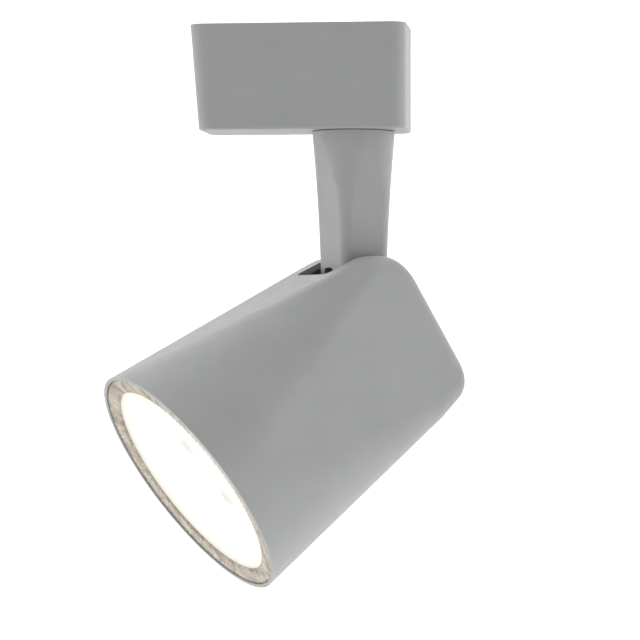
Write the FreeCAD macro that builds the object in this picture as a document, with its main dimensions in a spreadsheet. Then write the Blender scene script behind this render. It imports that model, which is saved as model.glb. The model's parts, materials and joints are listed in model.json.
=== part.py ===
import FreeCAD, Part
import math
import os

import Sketcher
from FreeCAD import Placement, Rotation, Vector

# A track spotlight: a box-shaped track adapter, a hollow swivel arm and a tilting lamp head.
# Row frame: +Z up, X along the track, the pan axis on Z and the top face of the adapter at Z = 0.

# Driving sizes, in millimetres unless the name says otherwise. Each becomes a cell of the sheet.
SIZES = {
    # adapter housing
    "housing_left": -64.0, "housing_right": 22.0, "housing_deep": 36.0, "housing_high": 42.0,
    "end_slant": 3.4, "housing_wall": 2.0, "floor_thick": 2.6, "corner_round": 6.0, "foot_round": 1.0,
    "cover_thick": 2.0, "cover_rim": 1.0, "cover_gap": 0.1, "post_side": 7.0, "post_inset_y": 12.6,
    "post_left": -55.3, "post_right": 16.9,
    # magnets and sprung contacts in the cover
    "magnet_long": 16.0, "magnet_wide": 8.0, "magnet_thick": 4.0, "magnet_cell_wall": 1.2,
    "magnet_left": -48.6, "magnet_right": 6.0, "contact_middle": -21.0, "contact_pitch": 10.0,
    "carrier_long": 26.0, "carrier_wide": 10.0, "carrier_low": 9.0, "pin_proud": 1.4, "pin_radius": 1.0,
    "pin_collar": 1.5, "pin_fit": 0.05, "collar_top": 1.5, "collar_thick": 1.2,
    # driver board
    "board_left": -51.0, "board_right": -14.0, "board_wide": 26.0, "board_thick": 1.6, "board_low": -34.0,
    "board_hole_left": -47.5, "board_hole_right": -17.5, "board_hole_y": 10.0,
    # pan swivel
    "spindle_radius": 6.0, "spindle_bore": 3.5, "swivel_fit": 0.05, "bush_wall": 2.0, "flange_thick": 1.2,
    "stop_radius": 12.2, "stop_pin_radius": 1.0, "stop_tab_wide": 1.8, "arm_gap": 0.3,
    # swivel arm
    "collar_radius": 16.5, "tilt_drop": 109.3, "knuckle_half_long": 9.6, "knuckle_half_wide": 12.3,
    "arm_wall": 2.3, "arm_boss_low": 56.0, "knuckle_top": 101.0, "notch_top": 96.5, "notch_low": 108.0,
    "hub_radius": 6.6, "hub_face": 6.6, "notch_wide": 7.6, "notch_middle": -2.4, "notch_round": 1.8,
    "notch_front": 10.0, "notch_deep": 9.0,
    # tilt pivot
    "pivot_radius": 3.5, "pivot_bore": 2.0, "tilt_fit": 0.05, "tilt_bush_radius": 5.0, "ear_gap": 0.75,
    "ear_thick": 2.0, "ear_round": 8.0,
    # lamp head, in its own frame: X forward along the beam, Z up, the tilt pivot at the origin
    "rim_radius": 50.7, "rim_forward": 99.6, "axis_drop": 17.7, "head_wall": 2.2, "nape_round": 17.2,
    "heel_round": 10.7, "heel_back": -3.9, "heel_drop": -42.0, "rear_half_wide": 26.8, "rear_round": 4.0,
    "rear_corner": 8.0, "slot_half_wide": 14.5, "slot_front": 9.9, "slot_low": -11.6, "slot_corner": 3.0,
    # light source and optic, measured along the beam from the tilt pivot
    "sink_back": 62.0, "sink_front": 67.0, "sink_radius": 39.5, "fin_back": 42.0, "fin_thick": 1.6,
    "pad_thick": 0.5, "led_board_thick": 1.6, "led_board_radius": 29.5, "led_ring": 22.0, "led_side": 3.5,
    "bezel_seat": 93.5, "bezel_radius": 49.1, "lens_radius": 44.5, "lens_window": 42.6,
    "lens_back": 94.8, "lens_thick": 2.8,
    "bezel_high": 5.8, "bezel_edge": 0.3, "bezel_dip": 0.6,
    # cables
    "cable_radius": 1.3, "wire_radius": 0.6,
}
PAN = 31.0  # degrees that the head is turned from the slanted end of the adapter, at rest
TILT = 35.0  # degrees that the beam points below the horizontal, at rest

doc = FreeCAD.newDocument("track_spotlight")
sheet = doc.addObject("Spreadsheet::Sheet", "sizes")
for row, (alias, amount) in enumerate(SIZES.items(), start=1):
    sheet.set(f"A{row}", alias)
    sheet.set(f"B{row}", str(amount))
    sheet.setAlias(f"B{row}", alias)
doc.recompute()


class Size:
    """A length that knows its value and the sheet expression that gives it."""

    def __init__(self, amount, text):
        self.amount = amount
        self.text = text

    def __add__(self, other):
        return Size(self.amount + number(other), f"({self.text} + {words(other)})")

    def __sub__(self, other):
        return Size(self.amount - number(other), f"({self.text} - {words(other)})")

    def __mul__(self, other):
        return Size(self.amount * number(other), f"({self.text} * {words(other)})")

    def __truediv__(self, other):
        return Size(self.amount / number(other), f"({self.text} / {words(other)})")

    def __radd__(self, other):
        return self + other

    def __rmul__(self, other):
        return self * other

    def __rsub__(self, other):
        return Size(number(other) - self.amount, f"({words(other)} - {self.text})")

    def __neg__(self):
        return Size(-self.amount, f"(-{self.text})")


def number(size):
    return size.amount if isinstance(size, Size) else float(size)


def words(size):
    return size.text if isinstance(size, Size) else str(size)


class Sheet:
    """The sheet's cells as attributes: cell.wall is the Size of the cell with the alias wall."""

    def __getattr__(self, alias):
        return Size(SIZES[alias], f"sizes.{alias}")


cell = Sheet()

# Frames of the three moving groups, and of pieces turned about the beam or about the tilt axis.
ROW = Placement()
ARM = Placement(Vector(0, 0, 0), Rotation(Vector(0, 0, 1), 180 + PAN))
HEAD = ARM * Placement(Vector(0, 0, -SIZES["tilt_drop"]), Rotation(Vector(0, 1, 0), TILT))
BEAM_IN_HEAD = Placement(Vector(0, 0, -SIZES["axis_drop"]), Rotation(Vector(0, 1, 0), 90))
BEAM = HEAD * BEAM_IN_HEAD
ACROSS = Placement(Vector(0, 0, 0), Rotation(Vector(1, 0, 0), -90))
ARM_TILT = ARM * Placement(Vector(0, 0, -SIZES["tilt_drop"]), Rotation()) * ACROSS
HEAD_TILT = HEAD * ACROSS

kept = []


def keep(piece, label, frame=None):
    """Names a finished sub-part and puts it in its frame."""
    piece.Label = label
    if frame is not None:
        piece.Placement = frame
    kept.append(piece)
    return piece


def bind(item, path, size):
    """Sets one of an object's sizes, by an expression on the sheet where the size has one."""
    if isinstance(size, Size):
        item.setExpression(path, size.text)
    elif path.startswith("Constraints"):
        item.setDatum(int(path[12:-1]), float(size))
    elif path == "AttachmentOffset.Base.z":
        item.AttachmentOffset = Placement(Vector(0, 0, size), Rotation())
    else:
        setattr(item, path, size)


# ---- sketches -------------------------------------------------------------------------------


def new_body(name):
    return doc.addObject("PartDesign::Body", name)


def sketch_on(body, role="XY_Plane", height=0):
    """A sketch on one of the body's own planes, moved along that plane's normal."""
    sketch = body.newObject("Sketcher::SketchObject", body.Name + "_sketch")
    plane = next(item for item in body.Origin.OriginFeatures if item.Role == role)
    sketch.AttachmentSupport = [(plane, "")]
    sketch.MapMode = "FlatFace"
    bind(sketch, "AttachmentOffset.Base.z", height)
    return sketch


def hold(sketch, line, end, x, y):
    """Holds one point of a sketch at the sizes x and y from the origin."""
    for kind, axis, size in (("DistanceX", -2, x), ("DistanceY", -1, y)):
        if not isinstance(size, Size) and size == 0:
            sketch.addConstraint(Sketcher.Constraint("PointOnObject", line, end, axis))
            continue
        index = sketch.addConstraint(Sketcher.Constraint(kind, -1, 1, line, end, number(size)))
        if isinstance(size, Size):
            sketch.setExpression(f"Constraints[{index}]", size.text)


def size_radius(sketch, line, radius):
    index = sketch.addConstraint(Sketcher.Constraint("Radius", line, number(radius)))
    if isinstance(radius, Size):
        sketch.setExpression(f"Constraints[{index}]", radius.text)


def polygon(sketch, points):
    """A closed outline of straight lines with every corner held."""
    count = len(points)
    first = len(sketch.Geometry)
    spots = [Vector(number(x), number(y), 0) for x, y in points]
    for i in range(count):
        sketch.addGeometry(Part.LineSegment(spots[i], spots[(i + 1) % count]))
    for i in range(count):
        sketch.addConstraint(Sketcher.Constraint("Coincident", first + i, 2, first + (i + 1) % count, 1))
    for i, (x, y) in enumerate(points):
        hold(sketch, first + i, 1, x, y)
    return sketch


def box_outline(sketch, x, y, long, wide):
    """A rectangle with its middle at x, y."""
    corners = ((-1, -1), (1, -1), (1, 1), (-1, 1))
    return polygon(sketch, [(x + long * (a / 2), y + wide * (b / 2)) for a, b in corners])


def circle(sketch, radius, x=0, y=0):
    line = sketch.addGeometry(Part.Circle(Vector(number(x), number(y), 0), Vector(0, 0, 1), number(radius)))
    hold(sketch, line, 3, x, y)
    size_radius(sketch, line, radius)
    return sketch


def rounded_box(sketch, low_x, high_x, low_y, high_y, corner):
    """A rectangle with round corners: four lines and four arcs, each arc's middle and radius held."""
    centres = [
        (low_x + corner, low_y + corner), (high_x - corner, low_y + corner),
        (high_x - corner, high_y - corner), (low_x + corner, high_y - corner),
    ]
    radius = number(corner)
    first = len(sketch.Geometry)
    for quarter, (x, y) in enumerate(centres):
        start = math.pi + quarter * math.pi / 2
        middle = Vector(number(x), number(y), 0)
        arc = Part.ArcOfCircle(Part.Circle(middle, Vector(0, 0, 1), radius), start, start + math.pi / 2)
        next_x, next_y = centres[(quarter + 1) % 4]
        reach = Vector(math.cos(start + math.pi / 2), math.sin(start + math.pi / 2), 0) * radius
        after = Vector(number(next_x), number(next_y), 0)
        sketch.addGeometry(arc)
        sketch.addGeometry(Part.LineSegment(middle + reach, after + reach))
    for i in range(8):
        sketch.addConstraint(Sketcher.Constraint("Tangent", first + i, 2, first + (i + 1) % 8, 1))
    for quarter, (x, y) in enumerate(centres):
        hold(sketch, first + 2 * quarter, 3, x, y)
        size_radius(sketch, first + 2 * quarter, corner)
    return sketch


# ---- features -------------------------------------------------------------------------------


def pad(body, sketch, length, symmetric=False, down=False):
    feature = body.newObject("PartDesign::Pad", body.Name + "_pad")
    feature.Profile = sketch
    feature.SideType = "Symmetric" if symmetric else "One side"
    feature.Reversed = down
    bind(feature, "Length", length)
    return feature


def pocket(body, sketch, depth=None, symmetric=False, up=False):
    """Cuts against the sketch's normal, or along it where up is true; all the way with no depth."""
    feature = body.newObject("PartDesign::Pocket", body.Name + "_pocket")
    feature.Profile = sketch
    feature.SideType = "Symmetric" if symmetric else "One side"
    feature.Reversed = up
    if depth is None:
        feature.Type = "ThroughAll"
    else:
        bind(feature, "Length", depth)
    return feature


def fillet(body, radius, wanted):
    """Rounds the edges that the test picks from the body as it is so far."""
    doc.recompute()
    base = body.Tip
    names = [f"Edge{i}" for i, edge in enumerate(base.Shape.Edges, start=1) if wanted(edge)]
    feature = body.newObject("PartDesign::Fillet", body.Name + "_fillet")
    feature.Base = (base, names)
    bind(feature, "Radius", radius)
    return feature


def upright(edge):
    return abs(edge.tangentAt(edge.FirstParameter).z) > 0.95 and isinstance(edge.Curve, Part.Line)


def turned(name, profile):
    """A body turned about its own Z axis from corners of (radius, height)."""
    body = new_body(name)
    polygon(sketch_on(body, "XZ_Plane"), profile)
    feature = body.newObject("PartDesign::Revolution", name + "_turn")
    feature.Profile = body.Group[0]
    feature.ReferenceAxis = (body.Group[0], ["V_Axis"])
    feature.Angle = 360
    return body


def tube(name, outer, inner, low, high):
    """A ring, bush or plain rod between two heights."""
    return turned(name, [(inner, low), (outer, low), (outer, high), (inner, high)])


def prism(name, draw, low, high):
    """A body padded from a drawing on its XY plane, between two heights."""
    body = new_body(name)
    sketch = sketch_on(body, "XY_Plane", low)
    draw(sketch)
    pad(body, sketch, high - low)
    return body


def cut(name, base, tools):
    """The base with each of the tools taken away."""
    for tool in tools:
        feature = doc.addObject("Part::Cut", name)
        feature.Base = base
        feature.Tool = tool
        base = feature
    return base


def fused(name, pieces):
    feature = doc.addObject("Part::MultiFuse", name)
    feature.Shapes = pieces
    return feature


def common(name, base, tool):
    feature = doc.addObject("Part::Common", name)
    feature.Base = base
    feature.Tool = tool
    return feature


def group(name, piece, places):
    """Equal pieces as one sub-part: a link to the piece at each place."""
    links = []
    for place in places:
        link = doc.addObject("App::Link", name + "_copy")
        link.LinkedObject = piece
        link.Placement = place
        links.append(link)
    compound = doc.addObject("Part::Compound", name)
    compound.Links = links
    return compound


def at(x, y, z, turn=None):
    return Placement(Vector(x, y, z), turn or Rotation())


def run(points, bends):
    """A path of straight runs joined by tangent arcs, with one bend radius for each inner point."""
    spots = [Vector(*point) for point in points]
    edges = []
    start = spots[0]
    for before, corner, after, radius in zip(spots, spots[1:], spots[2:], bends):
        into = (corner - before).normalize()
        out = (after - corner).normalize()
        turn = into.getAngle(out)
        reach = radius * math.tan(turn / 2)
        inward = (out - into).normalize()
        middle = corner + inward * (radius / math.cos(turn / 2) - radius)
        if (corner - into * reach - start).Length > 1e-6:
            edges.append(Part.LineSegment(start, corner - into * reach).toShape())
        edges.append(Part.Arc(corner - into * reach, middle, corner + out * reach).toShape())
        start = corner + out * reach
    if (spots[-1] - start).Length > 1e-6:
        edges.append(Part.LineSegment(start, spots[-1]).toShape())
    return Part.Wire(edges)


def swept(path, radius):
    """A round section carried along a path."""
    section = Part.Wire(Part.Circle(path.Edges[0].firstVertex().Point, first_way(path), radius).toShape())
    return path.makePipeShell([section], True, True)


def first_way(path):
    edge = path.Edges[0]
    return edge.tangentAt(edge.FirstParameter)


def cable(name, routes, radius, frame):
    """Plain round cables, each along its own route of points and bend radii."""
    feature = doc.addObject("Part::Feature", name)
    solids = [swept(run(points, bends), SIZES[radius]) for points, bends in routes]
    feature.Shape = solids[0] if len(solids) == 1 else Part.makeCompound(solids)
    return keep(feature, name, frame)


def screw(name, shank, head, length, head_high, sink=False):
    """A screw along -Z with its head's top at Z = 0 and a hexagon socket; sunk heads are conical."""
    profile = [(0, -length), (shank, -length), (shank, -head_high), (head, -head_high), (head, 0), (0, 0)]
    if sink:
        del profile[3]
    body = turned(name, profile)
    socket = sketch_on(body)
    reach = shank * 0.85
    polygon(socket, [
        (reach * math.cos(math.radians(angle)), reach * math.sin(math.radians(angle)))
        for angle in range(15, 375, 60)
    ])
    pocket(body, socket, head_high * 0.6)
    return body


# ---- track adapter --------------------------------------------------------------------------

cover_low = -cell.cover_thick
floor_top = cell.floor_thick - cell.housing_high
housing_low = -cell.housing_high
post_spots = [
    (SIZES["post_left"], -SIZES["post_inset_y"]), (SIZES["post_left"], SIZES["post_inset_y"]),
    (SIZES["post_right"], -SIZES["post_inset_y"]), (SIZES["post_right"], SIZES["post_inset_y"]),
]
board_spots = [
    (x, side * SIZES["board_hole_y"])
    for x in (SIZES["board_hole_left"], SIZES["board_hole_right"])
    for side in (-1, 1)
]


def adapter_housing():
    """The open-topped box, with one end slanted, screw posts, board stand-offs and the swivel hole."""
    body = new_body("adapter_housing")
    side = sketch_on(body, "XZ_Plane")
    polygon(side, [
        (cell.housing_left, 0), (cell.housing_left + cell.end_slant, housing_low),
        (cell.housing_right, housing_low), (cell.housing_right, 0),
    ])
    pad(body, side, cell.housing_deep, symmetric=True)
    fillet(body, cell.corner_round, upright)
    fillet(body, cell.foot_round, lambda edge: abs(edge.BoundBox.ZMin + SIZES["housing_high"]) < 0.01
           and edge.BoundBox.ZLength < 0.01)
    half = cell.housing_deep / 2
    inner = half - cell.housing_wall
    left = cell.housing_left + cell.end_slant + cell.housing_wall
    cavity = sketch_on(body)
    rounded_box(cavity, left, cell.housing_right - cell.housing_wall, -inner, inner, cell.corner_round - 2)
    pocket(body, cavity, cell.housing_high - cell.floor_thick)
    seat = sketch_on(body)
    rim = cell.cover_rim
    rounded_box(seat, cell.housing_left + rim, cell.housing_right - rim, rim - half, half - rim,
                cell.corner_round - rim)
    pocket(body, seat, cell.cover_thick)
    posts = sketch_on(body, "XY_Plane", floor_top - 0.5)
    for x, y in post_spots:
        circle(posts, cell.post_side / 2, x, y)
    pad(body, posts, cover_low - floor_top + 0.5)
    stands = sketch_on(body, "XY_Plane", floor_top - 0.5)
    for x, y in board_spots:
        circle(stands, 2.6, x, y)
    pad(body, stands, cell.board_low - floor_top + 0.5)
    pilots = sketch_on(body, "XY_Plane", cover_low)
    for x, y in post_spots:
        circle(pilots, 1.25, x, y)
    pocket(body, pilots, 9)
    board_pilots = sketch_on(body, "XY_Plane", cell.board_low)
    for x, y in board_spots:
        circle(board_pilots, 1.0, x, y)
    pocket(body, board_pilots, 4.5)
    swivel = sketch_on(body)
    circle(swivel, cell.spindle_radius + cell.swivel_fit + cell.bush_wall)
    pocket(body, swivel)
    stop = sketch_on(body)
    circle(stop, cell.stop_pin_radius, cell.stop_radius)
    pocket(body, stop, cell.housing_high - 1)
    return keep(body, "adapter_housing")


def adapter_cover():
    """The flush top plate, with two magnet cells, a window for the contacts and sunk screw holes."""
    half = cell.housing_deep / 2 - cell.cover_rim - cell.cover_gap
    left = cell.housing_left + cell.cover_rim + cell.cover_gap
    right = cell.housing_right - cell.cover_rim - cell.cover_gap
    body = new_body("cover_plate")
    plate = sketch_on(body)
    rounded_box(plate, left, right, -half, half, cell.corner_round - cell.cover_rim - cell.cover_gap)
    pad(body, plate, cell.cover_thick, down=True)
    cells = sketch_on(body)
    wall = cell.magnet_cell_wall * 2
    for x in (cell.magnet_left, cell.magnet_right):
        box_outline(cells, x, 0, cell.magnet_long + wall, cell.magnet_wide + wall)
    pad(body, cells, cell.magnet_thick + cell.magnet_cell_wall, down=True)
    hollows = sketch_on(body)
    for x in (cell.magnet_left, cell.magnet_right):
        box_outline(hollows, x, 0, cell.magnet_long + 0.1, cell.magnet_wide + 0.1)
    pocket(body, hollows, cell.magnet_thick)
    window = sketch_on(body)
    box_outline(window, cell.contact_middle, 0, cell.carrier_long + 0.2, cell.carrier_wide + 0.2)
    pocket(body, window)
    holes = sketch_on(body)
    for x, y in post_spots:
        circle(holes, 1.6, x, y)
    pocket(body, holes)
    doc.recompute()
    sinks = turned("cover_sinks", [(0, -1.3), (1.3, -1.3), (2.5, 0), (2.5, 0.2), (0, 0.2)])
    sunk = group("cover_sink_group", sinks, [at(x, y, 0) for x, y in post_spots])
    return keep(cut("sunk_cover", body, [sunk]), "adapter_cover")


def cover_fittings():
    """The cover's screws, the two magnets, and the block that guides the sprung contacts."""
    sunk = screw("cover_screw", 1.2, 2.3, 8.0, 1.2, sink=True)
    keep(group("cover_screws", sunk, [at(x, y, -0.1) for x, y in post_spots]), "cover_screws")
    bar = prism("magnet", lambda sketch: box_outline(sketch, 0, 0, cell.magnet_long, cell.magnet_wide),
                -cell.magnet_thick, 0)
    fillet(bar, 0.4, upright)
    spots = [at(SIZES["magnet_left"], 0, 0), at(SIZES["magnet_right"], 0, 0)]
    keep(group("adapter_magnets", bar, spots), "adapter_magnets")
    carrier = prism(
        "contact_carrier",
        lambda sketch: box_outline(sketch, cell.contact_middle, 0, cell.carrier_long, cell.carrier_wide),
        -cell.carrier_low, 0)
    flange = sketch_on(carrier, "XY_Plane", cover_low)
    box_outline(flange, cell.contact_middle, 0, cell.carrier_long + 5, cell.carrier_wide + 4)
    pad(carrier, flange, 1.5, down=True)
    mouths = sketch_on(carrier)
    bores = sketch_on(carrier, "XY_Plane", -cell.carrier_low)
    for side in (-1, 1):
        x = cell.contact_middle + cell.contact_pitch * (side / 2)
        circle(mouths, cell.pin_radius + cell.pin_fit, x)
        circle(bores, cell.pin_collar + cell.pin_fit, x)
    pocket(carrier, mouths)
    pocket(carrier, bores, cell.carrier_low - cell.collar_top, up=True)
    keep(carrier, "contact_carrier")
    plate = prism("terminal", lambda sketch: box_outline(sketch, 0, 0, 9.0, 8.0), -0.5, 0)
    half = SIZES["contact_pitch"] / 2
    spots = [at(SIZES["contact_middle"] + side * half, 0, -SIZES["carrier_low"]) for side in (-1, 1)]
    keep(group("contact_terminals", plate, spots), "contact_terminals")


def sprung_contacts():
    """Two plungers with a domed tip and a collar, each on its own coil spring."""
    collar_low = -(cell.collar_top + cell.collar_thick)
    for name, side in (("plus", -1), ("minus", 1)):
        place = at(SIZES["contact_middle"] + side * SIZES["contact_pitch"] / 2, 0, 0)
        pin = turned("contact_pin_" + name, [
            (0, collar_low - 3.0), (0.55, collar_low - 3.0),
            (0.55, collar_low), (cell.pin_collar, collar_low),
            (cell.pin_collar, -cell.collar_top), (cell.pin_radius, -cell.collar_top),
            (cell.pin_radius, cell.pin_proud - 0.7), (cell.pin_radius * 0.7, cell.pin_proud - 0.2),
            (cell.pin_radius * 0.3, cell.pin_proud), (0, cell.pin_proud),
        ])
        keep(pin, "contact_pin_" + name, place)
        spring = new_body("contact_spring_" + name)
        wire = sketch_on(spring, "XZ_Plane")
        circle(wire, 0.18, 1.1, -cell.carrier_low + 0.2)
        helix = spring.newObject("PartDesign::AdditiveHelix", "coil_" + name)
        helix.Profile = wire
        helix.ReferenceAxis = (wire, ["V_Axis"])
        helix.Mode = "height-turns-angle"
        helix.Turns = 5.5
        bind(helix, "Height", cell.carrier_low - 0.4 - cell.collar_top - cell.collar_thick)
        keep(spring, "contact_spring_" + name, place)


def driver():
    """The driver board on its stand-offs, its parts, its screws and its leads."""
    top = cell.board_low + cell.board_thick
    high = number(top)
    board = prism("driver_board", lambda sketch: polygon(sketch, [
        (cell.board_left, -cell.board_wide / 2), (cell.board_right, -cell.board_wide / 2),
        (cell.board_right, cell.board_wide / 2), (cell.board_left, cell.board_wide / 2),
    ]), cell.board_low, top)
    holes = sketch_on(board, "XY_Plane", top)
    for x, y in board_spots:
        circle(holes, 1.2, x, y)
    pocket(board, holes)
    keep(board, "driver_board")
    pan_head = screw("board_screw", 1.0, 1.9, 5.6, 1.4)
    keep(group("board_screws", pan_head, [at(x, y, high + 1.4) for x, y in board_spots]), "board_screws")
    core = turned("driver_inductor", [
        (0, 0), (6.0, 0), (6.0, 1.4), (4.2, 2.0), (4.2, 7.6), (6.0, 8.2), (6.0, 9.6), (0, 9.6)])
    keep(core, "driver_inductor", at(-43.0, 0, high))
    can = turned("capacitor", [
        (0, 0), (3.6, 0), (4.0, 0.5), (4.0, 1.6), (3.7, 1.9), (4.0, 2.2), (4.0, 12.6), (3.6, 13), (0, 13)])
    spots = [at(-31.0, -7.5, high), at(-31.0, 1.2, high)]
    keep(group("driver_capacitors", can, spots), "driver_capacitors")
    chip = prism("chip", lambda sketch: box_outline(sketch, 0, 0, 5.0, 4.0), 0, 1.5)
    spots = [at(-23.6, -2.0, high), at(-23.6, -9.0, high), at(-22.5, 9.6, high)]
    keep(group("driver_chips", chip, spots), "driver_chips")
    block = prism("output_terminal", lambda sketch: box_outline(sketch, 0, 0, 6.0, 7.6), 0, 6.5)
    doors = sketch_on(block, "XY_Plane", 6.5)
    for side in (-1, 1):
        circle(doors, 0.75, 0, side * 1.9)
    pocket(block, doors, 3.0)
    keep(block, "output_terminal", at(-17.5, -3.0, high))
    low = -SIZES["carrier_low"] - 0.5
    ends = [SIZES["contact_middle"] + side * SIZES["contact_pitch"] / 2 for side in (-1, 1)]
    routes = [
        ([(x, 2.5, low), (x, 2.5, low - 7), (x - slide, 7.6, low - 13), (x - slide, 7.6, high)], (4, 4))
        for x, slide in zip(ends, (2.0, -1.0))
    ]
    cable("input_leads", routes, "wire_radius", ROW)
    outputs = []
    for side in (-1, 1):
        y = -3.0 + side * 1.9
        outputs.append(([(-17.5, y, high + 3.6), (-17.5, y, -13.0), (0, side * 1.1, -13.0),
                         (0, side * 1.1, -18.0)], (4, 4)))
    cable("output_leads", outputs, "wire_radius", ROW)
    keep(tube("cable_splice", 2.7, 0, -24.0, -18.0), "cable_splice")


# ---- pan swivel -----------------------------------------------------------------------------

bush_radius = cell.spindle_radius + cell.swivel_fit
flange_top = floor_top + cell.flange_thick
stop_low = flange_top + 0.1
stop_high = stop_low + 1.5
arm_top = housing_low - cell.arm_gap


def pan_swivel():
    """A hollow spindle in a flanged bush, with a tabbed stop washer, a spring washer and a nut."""
    keep(turned("swivel_bush", [
        (bush_radius, housing_low), (bush_radius + cell.bush_wall, housing_low),
        (bush_radius + cell.bush_wall, floor_top), (bush_radius + 3.9, floor_top),
        (bush_radius + 3.9, flange_top), (bush_radius, flange_top),
    ]), "swivel_bush")
    pin = tube("pan_stop_pin", cell.stop_pin_radius, 0, 1 - cell.housing_high, stop_high + 0.3)
    keep(pin, "pan_stop_pin", at(SIZES["stop_radius"], 0, 0))
    spindle_top = stop_high + 9.5
    spindle = turned("swivel_spindle", [
        (cell.spindle_bore, -cell.arm_boss_low), (cell.spindle_radius, -cell.arm_boss_low),
        (cell.spindle_radius, spindle_top - 0.6), (cell.spindle_radius - 0.6, spindle_top),
        (cell.spindle_bore, spindle_top),
    ])
    keep(spindle, "swivel_spindle", ARM)
    slip = housing_low - 0.05
    keep(tube("thrust_washer", 13.0, cell.spindle_radius, slip - 0.7, slip), "thrust_washer", ARM)
    washer = prism("stop_washer", lambda sketch: circle(sketch, cell.stop_radius - 2.4), stop_low, stop_high)
    tab = sketch_on(washer, "XY_Plane", stop_low)
    polygon(tab, [
        (8.0, -cell.stop_tab_wide / 2), (cell.stop_radius + 1.2, -cell.stop_tab_wide / 2),
        (cell.stop_radius + 1.2, cell.stop_tab_wide / 2), (8.0, cell.stop_tab_wide / 2),
    ])
    pad(washer, tab, stop_high - stop_low)
    eye = sketch_on(washer, "XY_Plane", stop_high)
    circle(eye, cell.spindle_radius)
    pocket(washer, eye)
    keep(washer, "stop_washer", ARM)
    keep(turned("swivel_spring_washer", [
        (cell.spindle_radius, stop_high + 1.0), (9.4, stop_high), (9.4, stop_high + 0.8),
        (cell.spindle_radius, stop_high + 1.8),
    ]), "swivel_spring_washer", ARM)
    nut_low = stop_high + 1.8
    nut = prism("swivel_nut", lambda sketch: polygon(sketch, [
        (9.8 * math.cos(math.radians(angle)), 9.8 * math.sin(math.radians(angle)))
        for angle in range(0, 360, 60)
    ]), nut_low, nut_low + 5.0)
    hole = sketch_on(nut, "XY_Plane", nut_low + 5.0)
    circle(hole, cell.spindle_radius)
    pocket(nut, hole)
    keep(nut, "swivel_nut", ARM)
    grommet = turned("spindle_grommet", [
        (1.35, spindle_top - 3.0), (cell.spindle_bore, spindle_top - 3.0), (cell.spindle_bore, spindle_top),
        (4.6, spindle_top), (4.6, spindle_top + 1.0), (1.35, spindle_top + 1.0),
    ])
    keep(grommet, "spindle_grommet", ARM)


# ---- swivel arm -----------------------------------------------------------------------------


def arm_body(name, inset, top):
    """The arm's lofted body: round under the adapter, then a rounded box that slims towards the head."""
    collar = SIZES["collar_radius"]
    sections = [
        (-number(arm_top), collar, collar, collar - 0.05), (50.0, 14.7, 15.8, 12.5), (60.0, 12.7, 14.7, 8.0),
        (74.0, 11.0, 13.5, 4.6), (SIZES["knuckle_top"], 9.6, 12.3, 2.6),
    ]
    body = new_body(name)
    sketches = []
    for depth, half_long, half_wide, corner in sections:
        if depth < top:
            continue
        sketch = sketch_on(body, "XY_Plane", -depth)
        long, wide = half_long - inset, half_wide - inset
        rounded_box(sketch, -long, long, -wide, wide, max(corner - inset, 0.8))
        sketches.append(sketch)
    loft = body.newObject("PartDesign::AdditiveLoft", name + "_loft")
    loft.Profile = sketches[0]
    loft.Sections = sketches[1:]
    return body


def knuckle(name, inset):
    """The arm's round end about the tilt axis."""
    body = new_body(name)
    radius = cell.knuckle_half_long - inset
    sketch = sketch_on(body, "XZ_Plane")
    size = number(radius)
    drop = SIZES["tilt_drop"]
    top = SIZES["knuckle_top"]
    sketch.addGeometry(Part.LineSegment(Vector(-size, -top, 0), Vector(-size, -drop, 0)))
    sketch.addGeometry(Part.ArcOfCircle(
        Part.Circle(Vector(0, -drop, 0), Vector(0, 0, 1), size), math.pi, 2 * math.pi))
    sketch.addGeometry(Part.LineSegment(Vector(size, -drop, 0), Vector(size, -top, 0)))
    sketch.addGeometry(Part.LineSegment(Vector(size, -top, 0), Vector(-size, -top, 0)))
    for first, second in ((0, 1), (1, 2)):
        sketch.addConstraint(Sketcher.Constraint("Tangent", first, 2, second, 1))
    for first, second in ((2, 3), (3, 0)):
        sketch.addConstraint(Sketcher.Constraint("Coincident", first, 2, second, 1))
    hold(sketch, 1, 3, 0, -cell.tilt_drop)
    hold(sketch, 0, 1, -radius, -cell.knuckle_top)
    sketch.addConstraint(Sketcher.Constraint("Horizontal", 3))
    pad(body, sketch, (cell.knuckle_half_wide - inset) * 2, symmetric=True)
    corner = max(2.6 - inset, 0.8)
    side = SIZES["knuckle_half_wide"] - inset
    fillet(body, corner, lambda edge: abs(abs(edge.CenterOfMass.y) - side) < 0.01
           and edge.BoundBox.YLength < 0.01 and edge.CenterOfMass.z < -SIZES["knuckle_top"] - 0.1)
    return body


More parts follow.
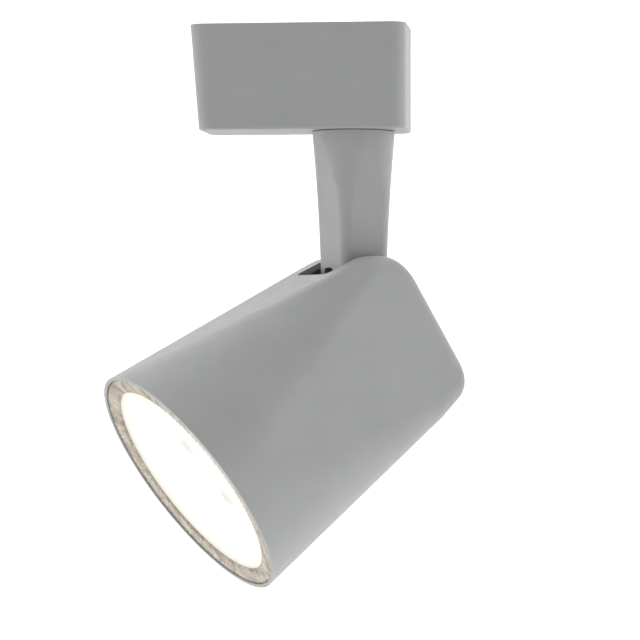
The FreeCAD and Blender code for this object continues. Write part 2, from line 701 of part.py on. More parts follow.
def swivel_arm():
    """The hollow arm, with a clip-in rear cover over its cable way and a notch low in its front."""
    outer = fused("arm_outer", [arm_body("arm_skin", 0, 0), knuckle("arm_knuckle", 0)])
    wall = SIZES["arm_wall"]
    hollow = fused("arm_hollow", [arm_body("arm_core", wall, 60.0), knuckle("arm_knuckle_core", wall)])
    hub_high = cell.knuckle_half_wide - 1.0
    hubs = [
        turned(name, [(0, low), (cell.hub_radius, low), (cell.hub_radius, high), (0, high)])
        for name, low, high in (("near_hub", cell.hub_face, hub_high), ("far_hub", -hub_high, -cell.hub_face))
    ]
    to_pivot = at(0, 0, -SIZES["tilt_drop"])
    for hub in hubs:
        hub.Placement = to_pivot * ACROSS
    solid_hubs = common("arm_hubs", fused("arm_hub_pair", hubs), outer)
    reach = cell.knuckle_half_wide + 2
    tilt_hole = tube("tilt_hole", cell.tilt_bush_radius, 0, -reach, reach)
    tilt_hole.Placement = to_pivot * ACROSS
    bore = tube("spindle_hole", cell.spindle_radius, 0, -cell.arm_boss_low, 0)
    cable_way = tube("cable_way", 4.0, 0, -62.0, -50.0)
    washer_seat = tube("washer_seat", 13.2, 0, housing_low - 0.75, 0)
    window = prism("rear_window", lambda sketch: box_outline(sketch, -12, 0, 16, 16), -98.0, -63.0)
    notch = prism(
        "front_notch",
        lambda sketch: box_outline(
            sketch, cell.notch_front, cell.notch_middle, cell.notch_deep, cell.notch_wide),
        -cell.notch_low, -cell.notch_top)
    fillet(notch, cell.notch_round, lambda edge: abs(edge.tangentAt(edge.FirstParameter).x) > 0.95
           and edge.CenterOfMass.z > -SIZES["notch_top"] - 0.1)
    arm = fused("arm_with_hubs", [cut("arm_shell", outer, [hollow]), solid_hubs])
    keep(cut("arm_cut", arm, [tilt_hole, bore, cable_way, washer_seat, window, notch]), "swivel_arm", ARM)
    plate = prism("rear_plate", lambda sketch: box_outline(sketch, -12, 0, 15.8, 15.7), -97.85, -63.15)
    cover = cut("arm_rear_cover", common("rear_cover_blank", outer, plate), [hollow])
    keep(cover, "arm_rear_cover", ARM)
    pivot_z = -SIZES["tilt_drop"]
    route = [(0, 0, -24.4), (0, 0, pivot_z), (0, 16.2, pivot_z)]
    cable("arm_cable", [(route, (8.0,))], "cable_radius", ARM)
    high = cell.knuckle_half_wide
    bush = turned("tilt_bush", [
        (cell.pivot_radius + cell.tilt_fit, cell.hub_face), (cell.tilt_bush_radius, cell.hub_face),
        (cell.tilt_bush_radius, high), (7.0, high), (7.0, high + cell.ear_gap - 0.05),
        (cell.pivot_radius + cell.tilt_fit, high + cell.ear_gap - 0.05),
    ])
    flip = Rotation(Vector(1, 0, 0), 180)
    bushes = group("tilt_bushes", bush, [ARM_TILT, ARM_TILT * at(0, 0, 0, flip)])
    keep(bushes, "tilt_bushes")


# ---- tilt pivot and bracket -----------------------------------------------------------------

ear_in = cell.knuckle_half_wide + cell.ear_gap
ear_out = ear_in + cell.ear_thick


def tilt_pivot():
    """A hollow pivot for the cable on the near side, and a friction screw on the far side."""
    keep(turned("pivot_tube", [
        (cell.pivot_bore, 6.8), (cell.pivot_radius, 6.8), (cell.pivot_radius, ear_out), (5.5, ear_out),
        (5.5, ear_out + 1.0), (cell.pivot_bore, ear_out + 1.0),
    ]), "pivot_tube", HEAD_TILT)
    stack = ear_out + 1.4
    bolt = turned("tilt_screw", [
        (0, -(stack + 3.0)), (5.5, -(stack + 3.0)), (5.5, -stack), (cell.pivot_radius, -stack),
        (cell.pivot_radius, -2.3), (0, -2.3),
    ])
    socket = sketch_on(bolt, "XY_Plane", -(stack + 3.0))
    polygon(socket, [
        (2.3 * math.cos(math.radians(angle)), 2.3 * math.sin(math.radians(angle)))
        for angle in range(0, 360, 60)
    ])
    pocket(bolt, socket, 2.0, up=True)
    keep(bolt, "tilt_screw", HEAD_TILT)
    keep(turned("tilt_spring_washer", [
        (cell.pivot_radius, -(ear_out + 1.4)), (6.2, -(ear_out + 0.8)), (6.2, -ear_out),
        (cell.pivot_radius, -(ear_out + 0.6)),
    ]), "tilt_spring_washer", HEAD_TILT)
    nut = prism("tilt_nut", lambda sketch: polygon(sketch, [
        (5.6 * math.cos(math.radians(angle)), 5.6 * math.sin(math.radians(angle)))
        for angle in range(0, 360, 60)
    ]), -6.5, -2.6)
    hole = sketch_on(nut, "XY_Plane", -2.6)
    circle(hole, cell.pivot_radius)
    pocket(nut, hole)
    keep(nut, "tilt_nut", HEAD_TILT)


def tilt_bracket():
    """A bent steel fork: two ears on the pivot, joined by a web that is screwed to the heat sink."""
    body = new_body("tilt_bracket")
    front = cell.sink_back
    ear = sketch_on(body, "XZ_Plane")
    ear_low, ear_high = -cell.ear_round, cell.ear_round
    polygon(ear, [(0, ear_low), (front, ear_low), (front, ear_high), (0, ear_high)])
    pad(body, ear, ear_out * 2, symmetric=True)
    ends = sketch_on(body, "XZ_Plane")
    circle(ends, cell.ear_round)
    pad(body, ends, ear_out * 2, symmetric=True)
    gap = sketch_on(body, "XY_Plane", 20)
    polygon(gap, [(-20, -ear_in), (front - 2.0, -ear_in), (front - 2.0, ear_in), (-20, ear_in)])
    pocket(body, gap, 40)
    web = sketch_on(body, "YZ_Plane", front - 2.0)
    polygon(web, [(-ear_out, -28), (ear_out, -28), (ear_out, 8), (-ear_out, 8)])
    pad(body, web, 2.0)
    holes = sketch_on(body, "XZ_Plane")
    circle(holes, cell.pivot_radius)
    pocket(body, holes, 60, symmetric=True)
    mounts = sketch_on(body, "YZ_Plane", front)
    for y in (-9.0, 9.0):
        for z in (-24.0, 2.0):
            circle(mounts, 1.6, y, z)
    pocket(body, mounts, 3)
    keep(body, "tilt_bracket", HEAD)
    short = screw("bracket_screw", 1.5, 2.8, 7.4, 2.4)
    turn = Rotation(Vector(0, 1, 0), -90)
    back = SIZES["sink_back"] - 2.0 - 2.4
    spots = [HEAD * at(back, y, z, turn) for y in (-9.0, 9.0) for z in (-24.0, 2.0)]
    keep(group("bracket_screws", short, spots), "bracket_screws")


# ---- lamp head ------------------------------------------------------------------------------


SCREW_SPOTS = [(x, y) for x in (-31.7, 31.7) for y in (-9.0, 9.0)]


def post_outline(sketch):
    """The four posts in the head that the heat sink is screwed to."""
    for x, y in SCREW_SPOTS:
        circle(sketch, 3.5, x, y)


def sink_holes(sketch, radius):
    """The four screw holes of the heat sink."""
    for x, y in SCREW_SPOTS:
        circle(sketch, radius, x, y)


def grazing_slope(far_x, far_z, centre_x, centre_z, radius):
    """The slope, as an angle, of the line from a far point that grazes the outside of a circle."""
    across, away = far_x - centre_x, abs(far_z - centre_z)
    return math.atan2(away, across) - math.asin(radius / math.hypot(across, away))


def round_in(depth, radius):
    """How far a round edge of that radius lies inside its square corner, at a depth from the face."""
    if depth >= radius:
        return 0.0
    return radius - math.sqrt(radius ** 2 - (radius - depth) ** 2)


def head_block(name, inset, front_x):
    """The head's solid form: a round front drawn back to a rounded box, with a round nape and heel.

    The nape is round about the tilt pivot. The rear sections are parallel to the flat rear face,
    which grazes the nape and the heel, and each is given by its depth from that face.
    """
    nape, heel = SIZES["nape_round"], SIZES["heel_round"]
    heel_middle = Vector(SIZES["heel_back"], SIZES["heel_drop"], 0)
    rim, drop, rim_x = SIZES["rim_radius"], SIZES["axis_drop"], SIZES["rim_forward"]
    rise = grazing_slope(rim_x, rim - drop, 0, 0, nape)
    fall = grazing_slope(rim_x, -rim - drop, heel_middle.x, heel_middle.y, heel)
    facing = math.atan2(heel_middle.y, heel_middle.x) - math.acos((nape - heel) / heel_middle.Length)
    back = Vector(math.cos(facing), math.sin(facing), 0)
    up = Vector(back.y, -back.x, 0)
    top_normal = Vector(-math.sin(rise), math.cos(rise), 0)
    low_normal = Vector(-math.sin(fall), -math.cos(fall), 0)
    lean = (rim - SIZES["rear_half_wide"]) / (rim_x + nape)

    def section(body, depth):
        """The outline that is this deep inside the rear face."""
        plane = back * (nape - inset - depth)
        round_nape, round_heel = nape - inset, heel - inset
        top = (round_nape - top_normal.dot(plane)) / top_normal.dot(up)
        if depth < round_nape * (1 - back.dot(top_normal)):
            top = math.sqrt(round_nape ** 2 - (round_nape - depth) ** 2)
        low = (round_heel + low_normal.dot(heel_middle) - low_normal.dot(plane)) / low_normal.dot(up)
        if depth < round_heel * (1 - back.dot(low_normal)):
            low = heel_middle.dot(up) - math.sqrt(round_heel ** 2 - (round_heel - depth) ** 2)
        side = SIZES["rear_half_wide"] + (depth + inset) * lean - inset
        side -= round_in(depth, max(SIZES["rear_round"] - inset, 1.5))
        corner = SIZES["rear_corner"] - inset * 0.8
        corner *= 0.7 + 0.3 * min(depth / nape, 1)
        sketch = sketch_on(body, "YZ_Plane")
        sketch.AttachmentOffset = Placement(
            Vector(0, plane.y, plane.x), Rotation(Vector(1, 0, 0), math.degrees(math.asin(up.x))))
        rounded_box(sketch, -side, side, low, top, corner)
        return sketch

    body = new_body(name)
    join = nape + 1.0
    steps = 14
    depths = [join * (1 - math.cos(math.radians(90 * step / steps))) for step in range(steps + 1)]
    rears = [section(body, depth) for depth in depths]
    close = body.newObject("PartDesign::AdditiveLoft", name + "_rear")
    close.Profile = rears[0]
    close.Sections = rears[1:]
    front = sketch_on(body, "YZ_Plane", front_x)
    radius = rim - inset - (rim_x - front_x) * lean
    rounded_box(front, -radius, radius, -drop - radius, radius - drop, radius - 0.05)
    start = section(body, join)
    cone = body.newObject("PartDesign::AdditiveLoft", name + "_cone")
    cone.Profile = start
    cone.Sections = [front]
    cone.Ruled = True
    return body


def head_shell():
    """The shell: an even wall round the head's form, with the slot for the arm and four screw posts."""
    outer = head_block("head_outer", 0, SIZES["rim_forward"])
    inner = head_block("head_inner", SIZES["head_wall"], SIZES["bezel_seat"] + 3)
    bore = tube("bezel_bore", cell.bezel_radius + 0.1, 0, cell.bezel_seat, cell.rim_forward + 2)
    bore.Placement = BEAM_IN_HEAD
    slot = prism("arm_slot", lambda sketch: polygon(sketch, [
        (-40, -cell.slot_half_wide), (cell.slot_front, -cell.slot_half_wide),
        (cell.slot_front, cell.slot_half_wide), (-40, cell.slot_half_wide),
    ]), cell.slot_low, 40)
    fillet(slot, cell.slot_corner, lambda edge: upright(edge) and edge.CenterOfMass.x > 0)
    posts = prism("head_posts", post_outline, 8.0, cell.sink_back)
    posts.Placement = BEAM_IN_HEAD
    skin = cut("head_skin", outer, [inner])
    shell = fused("head_shell_blank", [skin, common("posts_in_head", outer, posts)])
    pilots = prism(
        "head_pilots", lambda sketch: sink_holes(sketch, 1.5), cell.sink_back - 11, cell.sink_back + 1)
    pilots.Placement = BEAM_IN_HEAD
    keep(cut("head_cut", shell, [bore, slot, pilots]), "head_shell", HEAD)


# ---- light source and optic -----------------------------------------------------------------

CABLE_HOLE = (3.0 - SIZES["axis_drop"], 20.5)  # where the cable goes through the heat sink, in the beam frame
BRACKET_SPOTS = [(-z - SIZES["axis_drop"], y) for y in (-9.0, 9.0) for z in (-24.0, 2.0)]
led_spots = [(0.0, 0.0)] + [
    (SIZES["led_ring"] * math.cos(math.radians(angle)), SIZES["led_ring"] * math.sin(math.radians(angle)))
    for angle in range(30, 390, 60)
]
board_screw_spots = [
    (25.5 * math.cos(math.radians(angle)), 25.5 * math.sin(math.radians(angle))) for angle in (60, 180, 300)
]
pad_front = cell.sink_front + cell.pad_thick
led_board_front = pad_front + cell.led_board_thick


def heat_sink():
    """A round aluminium base with straight cooling fins on its back, either side of the bracket."""
    body = new_body("heat_sink")
    base = sketch_on(body, "XY_Plane", cell.sink_back)
    circle(base, cell.sink_radius)
    pad(body, base, cell.sink_front - cell.sink_back)
    fins = sketch_on(body, "XY_Plane", cell.fin_back)
    for side in (-1, 1):
        for offset in (16.4, 24.8, 29.2, 33.4):
            half = math.sqrt(37.0 ** 2 - offset ** 2)
            y = side * offset
            polygon(fins, [
                (-half, y - cell.fin_thick / 2), (half, y - cell.fin_thick / 2),
                (half, y + cell.fin_thick / 2), (-half, y + cell.fin_thick / 2),
            ])
    pad(body, fins, cell.sink_back - cell.fin_back + 1)
    holes = sketch_on(body, "XY_Plane", cell.sink_front)
    sink_holes(holes, 1.7)
    circle(holes, 2.6, *CABLE_HOLE)
    for x, y in BRACKET_SPOTS:
        circle(holes, 1.5, x, y)
    pocket(body, holes, 5)
    pilots = sketch_on(body, "XY_Plane", cell.sink_front)
    for x, y in board_screw_spots:
        circle(pilots, 1.25, x, y)
    pocket(body, pilots, 4)
    keep(body, "heat_sink", BEAM)
    long = screw("sink_screw", 1.5, 2.8, 14.0, 2.4)
    spots = [BEAM * at(x, y, SIZES["sink_front"] + 2.4) for x, y in SCREW_SPOTS]
    keep(group("heat_sink_screws", long, spots), "heat_sink_screws")
    grommet = turned("sink_grommet", [
        (1.35, cell.sink_back - 1.0), (3.2, cell.sink_back - 1.0),
        (3.2, cell.sink_back), (2.6, cell.sink_back),
        (2.6, cell.sink_front), (1.35, cell.sink_front),
    ])
    keep(grommet, "heat_sink_grommet", BEAM * at(CABLE_HOLE[0], CABLE_HOLE[1], 0))


def light_source():
    """The thermal pad, the round board and its screws, and seven emitters."""
    pad_sheet = tube("thermal_pad", cell.led_board_radius, 0, cell.sink_front, pad_front)
    cuts = sketch_on(pad_sheet, "XY_Plane", pad_front)
    circle(cuts, 2.6, *CABLE_HOLE)
    for x, y in board_screw_spots:
        circle(cuts, 1.6, x, y)
    pocket(pad_sheet, cuts)
    keep(pad_sheet, "thermal_pad", BEAM)
    board = tube("led_board", cell.led_board_radius, 0, pad_front, led_board_front)
    holes = sketch_on(board, "XY_Plane", led_board_front)
    for x, y in board_screw_spots:
        circle(holes, 1.6, x, y)
    pocket(board, holes)
    keep(board, "led_board", BEAM)
    top = number(led_board_front)
    flat = screw("led_screw", 1.2, 2.4, 6.6, 1.4)
    keep(group("led_board_screws", flat, [BEAM * at(x, y, top + 1.4) for x, y in board_screw_spots]),
         "led_board_screws")
    chip = prism("led_chip", lambda sketch: box_outline(sketch, 0, 0, cell.led_side, cell.led_side), 0, 0.7)
    dome = sketch_on(chip, "XY_Plane", 0.7)
    circle(dome, 1.4)
    pad(chip, dome, 0.5)
    fillet(chip, 0.45, lambda edge: abs(edge.CenterOfMass.z - 1.2) < 0.01)
    keep(group("led_chips", chip, [BEAM * at(x, y, top) for x, y in led_spots]), "led_chips")


def optic():
    """The holder, the lens with one light cup for each emitter, its seal and the bezel ring."""
    back = cell.lens_back
    front = back + cell.lens_thick
    keep(turned("lens_holder", [
        (36.6, cell.sink_front), (39.2, cell.sink_front), (39.2, cell.sink_front + 1.5), (44.4, back - 2.6),
        (44.4, back - 1.2), (41.8, back - 1.2), (41.8, back - 2.6), (36.6, cell.sink_front + 1.8),
    ]), "lens_holder", BEAM)
    plate = tube("lens_plate", cell.lens_radius, 0, back, front)
    cup_low = led_board_front + 1.6
    cup = turned("lens_cup", [(0, cup_low), (3.6, cup_low), (10.6, back + 0.5), (0, back + 0.5)])
    cups = group("lens_cups", cup, [at(x, y, 0) for x, y in led_spots])
    keep(fused("lens_array", [plate, cups]), "lens_array", BEAM)
    keep(tube("lens_gasket", 44.2, 42.2, back - 1.2, back), "lens_gasket", BEAM)
    seat = cell.bezel_seat
    high = seat + cell.bezel_high
    keep(turned("bezel_ring", [
        (cell.lens_radius + 0.1, seat), (cell.bezel_radius, seat), (cell.bezel_radius, high - cell.bezel_edge),
        (cell.bezel_radius - 0.9, high), (cell.lens_window, high - cell.bezel_dip), (cell.lens_window, front),
        (cell.lens_radius + 0.1, front),
    ]), "bezel_ring", BEAM)
    low = -3.0
    route = [(0, 16.5, 0), (0, 25.0, 0), (24.0, 25.0, -1.0), (46.0, 20.5, low), (67.5, 20.5, low)]
    cable("head_cable", [(route, (8.0, 16.0, 16.0))], "cable_radius", HEAD)


# ---- build ----------------------------------------------------------------------------------

for make in (adapter_housing, adapter_cover, cover_fittings, sprung_contacts, driver, pan_swivel, swivel_arm,
             tilt_pivot, tilt_bracket, head_shell, heat_sink, light_source, optic):
    make()
doc.recompute()

faults = [item.Name for item in doc.Objects if {"Invalid", "Error"} & set(item.State)]
for piece in kept:
    if piece.Shape.isNull() or not piece.Shape.isValid():
        faults.append(piece.Label)
if faults:
    raise SystemExit(f"not built: {faults}")

os.makedirs("parts", exist_ok=True)
for piece in kept:
    piece.Shape.exportStep(f"parts/{piece.Label}.step")
print(len(kept), "sub-parts written")
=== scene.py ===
"""Looks for a track spotlight: a box adapter, a hollow swivel arm and a tilting head with a lit lens."""

import json
import math

import bmesh
import bpy
from mathutils import Matrix, Vector


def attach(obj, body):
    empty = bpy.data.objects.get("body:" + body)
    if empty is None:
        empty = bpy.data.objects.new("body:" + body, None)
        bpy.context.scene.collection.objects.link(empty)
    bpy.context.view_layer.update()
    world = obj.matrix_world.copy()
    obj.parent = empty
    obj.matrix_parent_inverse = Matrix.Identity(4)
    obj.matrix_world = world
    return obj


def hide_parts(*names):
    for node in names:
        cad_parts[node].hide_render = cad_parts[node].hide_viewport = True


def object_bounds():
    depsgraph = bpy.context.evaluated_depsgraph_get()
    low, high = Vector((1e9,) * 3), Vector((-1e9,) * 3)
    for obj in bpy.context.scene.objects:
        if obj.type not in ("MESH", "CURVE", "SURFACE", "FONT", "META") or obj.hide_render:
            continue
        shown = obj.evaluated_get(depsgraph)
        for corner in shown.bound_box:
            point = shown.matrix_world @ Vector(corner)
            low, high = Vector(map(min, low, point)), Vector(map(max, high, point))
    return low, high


MM = 0.001

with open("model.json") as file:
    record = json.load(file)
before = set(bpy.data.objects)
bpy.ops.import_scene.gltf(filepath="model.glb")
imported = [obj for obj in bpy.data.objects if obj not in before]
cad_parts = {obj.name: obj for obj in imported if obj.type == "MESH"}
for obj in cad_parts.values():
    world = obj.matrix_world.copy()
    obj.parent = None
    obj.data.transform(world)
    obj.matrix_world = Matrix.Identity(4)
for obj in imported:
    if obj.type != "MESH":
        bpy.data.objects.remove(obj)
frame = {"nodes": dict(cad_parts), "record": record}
cad_low, cad_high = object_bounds()
nodes = frame["nodes"]

# ---- the head's own frame: X forward along the beam, Y towards the near side, Z up, tilt pivot at 0 ----

PAN = math.radians(31)
TILT = math.radians(35)
PIVOT_Z = -109.3 * MM
AXIS_DROP = 17.7 * MM
ARM = Matrix.Rotation(math.pi + PAN, 4, "Z")
HEAD = ARM @ Matrix.Translation((0, 0, PIVOT_Z)) @ Matrix.Rotation(TILT, 4, "Y")
BEAM = HEAD @ Matrix.Translation((0, 0, -AXIS_DROP)) @ Matrix.Rotation(math.pi / 2, 4, "Y")

# ---- materials ----------------------------------------------------------------------------


class Nodes:
    """A material's node tree with its shader, and short ways to add to it."""

    def __init__(self, name):
        self.material = bpy.data.materials.new(name)
        self.material.use_nodes = True
        self.tree = self.material.node_tree
        self.shader = self.tree.nodes["Principled BSDF"]
        self.place = self.add("ShaderNodeTexCoord").outputs["Object"]

    def add(self, kind, **values):
        node = self.tree.nodes.new(kind)
        for key, value in values.items():
            if hasattr(node, key):
                setattr(node, key, value)
            else:
                node.inputs[key.replace("_", " ")].default_value = value
        return node

    def join(self, out, into):
        self.tree.links.new(out, into)
        return into

    def set(self, **values):
        for key, value in values.items():
            self.shader.inputs[key.replace("_", " ")].default_value = value

    def noise(self, scale, detail=3.0, roughness=0.5):
        node = self.add("ShaderNodeTexNoise", Scale=scale, Detail=detail, Roughness=roughness)
        self.join(self.place, node.inputs["Vector"])
        return node.outputs["Fac"]

    def spread(self, out, low, high, start=0.3, end=0.7):
        node = self.add("ShaderNodeMapRange")
        for socket, value in zip(node.inputs[1:5], (start, end, low, high)):
            socket.default_value = value
        self.join(out, node.inputs[0])
        return node.outputs[0]

    def shades(self, out, *stops):
        node = self.add("ShaderNodeValToRGB")
        ramp = node.color_ramp
        while len(ramp.elements) < len(stops):
            ramp.elements.new(0.5)
        for element, (position, colour) in zip(ramp.elements, stops):
            element.position = position
            element.color = (*colour, 1)
        self.join(out, node.inputs[0])
        return node.outputs[0]

    def bump(self, out, depth, strength=1.0):
        node = self.add("ShaderNodeBump", Strength=strength, Distance=depth)
        self.join(out, node.inputs["Height"])
        self.join(node.outputs[0], self.shader.inputs["Normal"])
        return node


def tone(colour, share):
    return tuple(min(1.0, c * share) for c in colour)


def surface(name, colour, rough, grain, depth, metallic=0.0, vary=0.06, patch=60.0, **more):
    """A mottled, finely textured surface: colour and roughness drift over a patch, grain gives the bump."""
    made = Nodes(name)
    made.set(Metallic=metallic, **more)
    drift = made.noise(patch, 4)
    made.join(made.shades(drift, (0.3, tone(colour, 1 - vary)), (0.7, tone(colour, 1 + vary))),
              made.shader.inputs["Base Color"])
    made.join(made.spread(made.noise(patch * 3), rough - 0.06, rough + 0.06), made.shader.inputs["Roughness"])
    made.bump(made.noise(grain, 2), depth)
    return made.material


GREY = (0.335, 0.34, 0.34)
LOOKS = {
    "grey_plastic": surface("grey_plastic", GREY, 0.50, 2600, 0.00004, vary=0.025, Specular_IOR_Level=0.5),
    "grey_cast": surface("grey_cast", GREY, 0.46, 2200, 0.00005, vary=0.025, Specular_IOR_Level=0.5),
    "dark_cover": surface("dark_cover", (0.03, 0.03, 0.032), 0.5, 2400, 0.00004),
    "steel": surface("steel", (0.55, 0.55, 0.56), 0.32, 1800, 0.00002, metallic=1, vary=0.1, patch=400),
    "spring_steel": surface("spring_steel", (0.42, 0.42, 0.44), 0.28, 1500, 0.00001, metallic=1, patch=500),
    "nylon": surface("nylon", (0.78, 0.77, 0.72), 0.4, 1500, 0.00002),
    "black_rubber": surface("black_rubber", (0.02, 0.02, 0.02), 0.65, 1800, 0.00003),
    "seal_rubber": surface("seal_rubber", (0.6, 0.6, 0.58), 0.5, 1500, 0.00002),
    "thermal_rubber": surface("thermal_rubber", (0.35, 0.42, 0.5), 0.7, 1500, 0.00003),
    "cable_sheath": surface("cable_sheath", (0.75, 0.75, 0.73), 0.45, 1500, 0.00002),
    "lead_sheath": surface("lead_sheath", (0.45, 0.05, 0.04), 0.4, 1500, 0.00001),
    "cast_aluminium": surface("cast_aluminium", (0.6, 0.6, 0.61), 0.42, 1400, 0.00006, metallic=1, vary=0.1),
    "white_board": surface("white_board", (0.85, 0.85, 0.83), 0.35, 900, 0.00001),
    "green_board": surface("green_board", (0.03, 0.2, 0.07), 0.3, 900, 0.00001, vary=0.15, patch=300),
    "white_plastic": surface("white_plastic", (0.85, 0.85, 0.84), 0.45, 1500, 0.00002),
    "magnet_nickel": surface("magnet_nickel", (0.62, 0.62, 0.6), 0.2, 900, 0.00001, metallic=1),
    "contact_brass": surface("contact_brass", (0.72, 0.55, 0.25), 0.25, 1500, 0.00001, metallic=1),
    "ferrite": surface("ferrite", (0.06, 0.06, 0.065), 0.6, 1200, 0.00005),
    "capacitor_can": surface("capacitor_can", (0.5, 0.5, 0.52), 0.3, 1200, 0.00001, metallic=1),
    "black_resin": surface("black_resin", (0.02, 0.02, 0.02), 0.5, 2500, 0.00002),
    "terminal_green": surface("terminal_green", (0.05, 0.25, 0.1), 0.4, 1500, 0.00002),
    "splice_nylon": surface("splice_nylon", (0.7, 0.7, 0.66), 0.4, 1500, 0.00002),
    "led_phosphor": surface("led_phosphor", (0.9, 0.72, 0.2), 0.3, 1500, 0.00001,
                            Emission_Color=(1.0, 0.86, 0.62, 1), Emission_Strength=6.0),
}

for row in frame["record"]["subparts"]:
    look = LOOKS.get(row["material_slot"])
    if look is not None:
        mesh = nodes[row["node"]].data
        mesh.materials.clear()
        mesh.materials.append(look)

# ---- the lens and its ring ----------------------------------------------------------------

LENS_RADIUS = 44.4 * MM
LENS_BACK, LENS_FRONT = 94.85 * MM, 97.55 * MM
RING_INNER, RING_OUTER = 42.6 * MM, 49.05 * MM
LED_RING = 22 * MM
GLINTS = ((-17.2 * MM, 19.1 * MM), (7.0 * MM, 26.2 * MM))
GLINT_CORE, GLINT_RADIUS = 2.0 * MM, 6.5 * MM
CUP_LOW, CUP_FOOT, CUP_FLARE = 70.7 * MM, 3.6 * MM, 7.0 * MM
RING_SEAT = 93.55 * MM


def into(name, mesh_maker, place, look, slot, body, *replaced):
    """Builds a mesh in the frame given by place, and puts it on its body in place of the CAD nodes named."""
    made = bmesh.new()
    mesh_maker(made)
    made.transform(place)
    bmesh.ops.recalc_face_normals(made, faces=made.faces)
    mesh = bpy.data.meshes.new(name)
    made.to_mesh(mesh)
    made.free()
    for face in mesh.polygons:
        face.use_smooth = True
    piece = bpy.data.objects.new(name, mesh)
    bpy.context.scene.collection.objects.link(piece)
    mesh.materials.append(look)
    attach(piece, body)
    if replaced:
        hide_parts(*replaced)
    return piece


def lathe(made, profile, steps, wave=None):
    """A closed ring of (radius, height) corners; wave(angle, index) moves a corner along the axis."""
    rings = []
    for i in range(steps):
        angle = 2 * math.pi * i / steps
        rings.append([
            made.verts.new((r * math.cos(angle), r * math.sin(angle), z + (wave(angle, k) if wave else 0)))
            for k, (r, z) in enumerate(profile)
        ])
    count = len(profile)
    for i, ring in enumerate(rings):
        after = rings[(i + 1) % steps]
        for k in range(count):
            made.faces.new((ring[k], after[k], after[(k + 1) % count], ring[(k + 1) % count]))


def lens_mesh(made):
    """A disc whose front is a field of small pillows, closed by its edge and back, over seven light cups."""
    pitch, height, rings, steps = 2.6 * MM, 0.22 * MM, 74, 288
    front, back = [], []
    for k in range(1, rings + 1):
        r = LENS_RADIUS * k / rings
        line = []
        for i in range(steps):
            angle = 2 * math.pi * i / steps
            x, y = r * math.cos(angle), r * math.sin(angle)
            pillow = sum(
                math.cos(2 * math.pi / pitch * (x * math.cos(turn) + y * math.sin(turn)))
                for turn in (0, 2 * math.pi / 3, 4 * math.pi / 3)
            ) / 3
            line.append(made.verts.new((x, y, LENS_FRONT - height * (1 - pillow) / 2)))
        front.append(line)
    middle = made.verts.new((0, 0, LENS_FRONT))
    for i in range(steps):
        made.faces.new((middle, front[0][i], front[0][(i + 1) % steps]))
    for inner, outer in zip(front, front[1:]):
        for i in range(steps):
            j = (i + 1) % steps
            made.faces.new((inner[i], outer[i], outer[j], inner[j]))
    edge = [made.verts.new((v.co.x, v.co.y, LENS_BACK)) for v in front[-1]]
    for i in range(steps):
        j = (i + 1) % steps
        made.faces.new((front[-1][i], edge[i], edge[j], front[-1][j]))
    made.faces.new(edge)
    spots = [(0, 0)] + [
        (LED_RING * math.cos(math.radians(a)), LED_RING * math.sin(math.radians(a))) for a in range(30, 390, 60)
    ]
    for x, y in spots:
        cup_high, levels, around = LENS_BACK - 0.05 * MM, 9, 48
        loops = []
        for level in range(levels + 1):
            share = level / levels
            r = CUP_FOOT + CUP_FLARE * share ** 0.62
            z = CUP_LOW + (cup_high - CUP_LOW) * share
            loops.append([
                made.verts.new((x + r * math.cos(2 * math.pi * i / around),
                                y + r * math.sin(2 * math.pi * i / around), z))
                for i in range(around)
            ])
        for lower, upper in zip(loops, loops[1:]):
            for i in range(around):
                j = (i + 1) % around
                made.faces.new((lower[i], lower[j], upper[j], upper[i]))
        made.faces.new(loops[0])
        made.faces.new(loops[-1])


def ring_mesh(made):
    """The clear ring round the lens, with fine radial prisms on its sloping front."""
    profile = [
        (44.55 * MM, RING_SEAT), (RING_OUTER, RING_SEAT), (RING_OUTER, 98.95 * MM), (48.2 * MM, 99.25 * MM),
        (46.3 * MM, 99.05 * MM), (44.4 * MM, 98.85 * MM), (RING_INNER, 98.65 * MM), (RING_INNER, 97.65 * MM),
        (44.55 * MM, 97.65 * MM),
    ]
    prisms, prism_depth = 120, 0.28 * MM

    def wave(angle, k):
        return -prism_depth * abs(math.sin(angle * prisms / 2)) if k in (3, 4, 5, 6) else 0

    lathe(made, profile, prisms * 6, wave)


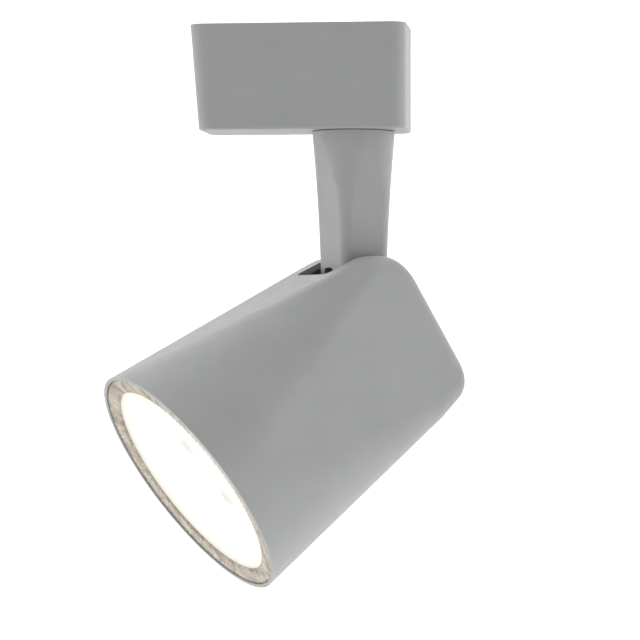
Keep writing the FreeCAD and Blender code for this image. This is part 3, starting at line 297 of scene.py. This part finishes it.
def lens_look():
    """Lit warm white, turning ivory towards its edge, with two faint textured spots near the edge."""
    made = Nodes("clear_optic")
    # the mapping takes a place in the row's frame back to the beam's own frame
    inverse = BEAM.inverted()
    mapping = made.add("ShaderNodeMapping", vector_type="POINT")
    mapping.inputs["Location"].default_value = inverse.to_translation()
    mapping.inputs["Rotation"].default_value = inverse.to_euler("XYZ")
    made.join(made.place, mapping.inputs["Vector"])
    split = made.add("ShaderNodeSeparateXYZ")
    made.join(mapping.outputs[0], split.inputs[0])
    flat = made.add("ShaderNodeCombineXYZ")
    made.join(split.outputs[0], flat.inputs[0])
    made.join(split.outputs[1], flat.inputs[1])
    length = made.add("ShaderNodeVectorMath", operation="LENGTH")
    made.join(flat.outputs[0], length.inputs[0])
    edge = made.spread(length.outputs["Value"], 0, 1, 0.25 * LENS_RADIUS, LENS_RADIUS)
    glow = made.shades(edge, (0.0, (1.0, 1.0, 0.99)), (0.7, (0.97, 0.965, 0.91)), (1.0, (0.91, 0.88, 0.78)))
    grain = made.spread(made.noise(1400, 3, 0.7), 0.0, 0.75, 0.42, 0.58)
    for x, y in GLINTS:
        away = made.add("ShaderNodeVectorMath", operation="DISTANCE")
        made.join(flat.outputs[0], away.inputs[0])
        away.inputs[1].default_value = (x, y, 0)
        near = made.spread(away.outputs["Value"], 1, 0, GLINT_CORE, GLINT_RADIUS)
        share = made.add("ShaderNodeMath", operation="MULTIPLY")
        made.join(near, share.inputs[0])
        made.join(grain, share.inputs[1])
        mix = made.add("ShaderNodeMix", data_type="RGBA")
        made.join(share.outputs[0], mix.inputs["Factor"])
        made.join(glow, mix.inputs[6])
        mix.inputs[7].default_value = (0.50, 0.49, 0.36, 1)
        glow = mix.outputs[2]
    made.join(glow, made.shader.inputs["Emission Color"])
    made.set(Base_Color=(0.06, 0.06, 0.055, 1), Roughness=0.3, Emission_Strength=0.88, IOR=1.49,
             Specular_IOR_Level=0.15)
    made.bump(made.noise(900, 2), 0.00004)
    return made.material


def ring_look():
    made = Nodes("prismatic_trim")
    mix = made.shades(made.noise(240, 5, 0.7), (0.36, (0.22, 0.18, 0.14)), (0.47, (0.36, 0.31, 0.25)),
                      (0.62, (0.52, 0.46, 0.39)))
    made.join(mix, made.shader.inputs["Base Color"])
    # painted glow: the ring is no lamp, but its mottled tan colour is also given out as a faint emission
    made.join(mix, made.shader.inputs["Emission Color"])
    made.set(Roughness=0.28, Emission_Strength=0.12, IOR=1.49, Specular_IOR_Level=0.35)
    made.bump(made.noise(1500, 2), 0.00003)
    return made.material


into("lens_optic", lens_mesh, BEAM, lens_look(), "clear_optic", "head", "lens_array")
into("bezel_prisms", ring_mesh, BEAM, ring_look(), "prismatic_trim", "head", "bezel_ring")

# ---- stage, light and camera --------------------------------------------------------------

FLOOR_RADIUS, FLOOR_BELOW = 9, 0.35
made = bmesh.new()
bmesh.ops.create_circle(made, cap_ends=True, segments=96, radius=FLOOR_RADIUS)
mesh = bpy.data.meshes.new("floor")
made.to_mesh(mesh)
made.free()
floor = bpy.data.objects.new("floor", mesh)
floor.location.z = cad_low.z - FLOOR_BELOW
bpy.context.scene.collection.objects.link(floor)
ground = Nodes("floor_white")
ground.set(Base_Color=(0.9, 0.9, 0.9, 1), Roughness=0.9, Emission_Color=(1, 1, 1, 1), Emission_Strength=0.22)
mesh.materials.append(ground.material)

# the surround is dim in front of the lamp and bright beside and behind it
FRONT_WAY = (0.11, -0.994, 0)
FRONT_LIGHT, SIDE_LIGHT = 0.14, 1.46
FADE_START, FADE_END = 0.15, 0.85
world = bpy.data.worlds.new("surround")
bpy.context.scene.world = world
world.use_nodes = True
tree = world.node_tree
way = tree.nodes.new("ShaderNodeTexCoord")
front = tree.nodes.new("ShaderNodeVectorMath")
front.operation = "DOT_PRODUCT"
front.inputs[1].default_value = FRONT_WAY
tree.links.new(way.outputs["Generated"], front.inputs[0])
fade = tree.nodes.new("ShaderNodeMapRange")
fade.interpolation_type = "SMOOTHSTEP"
for socket, value in zip(fade.inputs[1:5], (FADE_START, FADE_END, SIDE_LIGHT, FRONT_LIGHT)):
    socket.default_value = value
tree.links.new(front.outputs["Value"], fade.inputs[0])
tree.links.new(fade.outputs[0], tree.nodes["Background"].inputs["Strength"])
tree.nodes["Background"].inputs["Color"].default_value = (1, 1, 1, 1)

CAMERA_LENS = 151.9
CAMERA_PLACE = (0.1089, -1.0746, -0.1174)
CAMERA_WAY = (-0.1132, 0.9936, 0)
camera = bpy.data.objects.new("camera", bpy.data.cameras.new("camera"))
bpy.context.scene.collection.objects.link(camera)
camera.data.sensor_width = 36
camera.data.lens = CAMERA_LENS
camera.location = CAMERA_PLACE
camera.rotation_euler = Vector(CAMERA_WAY).to_track_quat("-Z", "Y").to_euler()
bpy.context.scene.camera = camera
bpy.context.scene.view_settings.view_transform = "Standard"
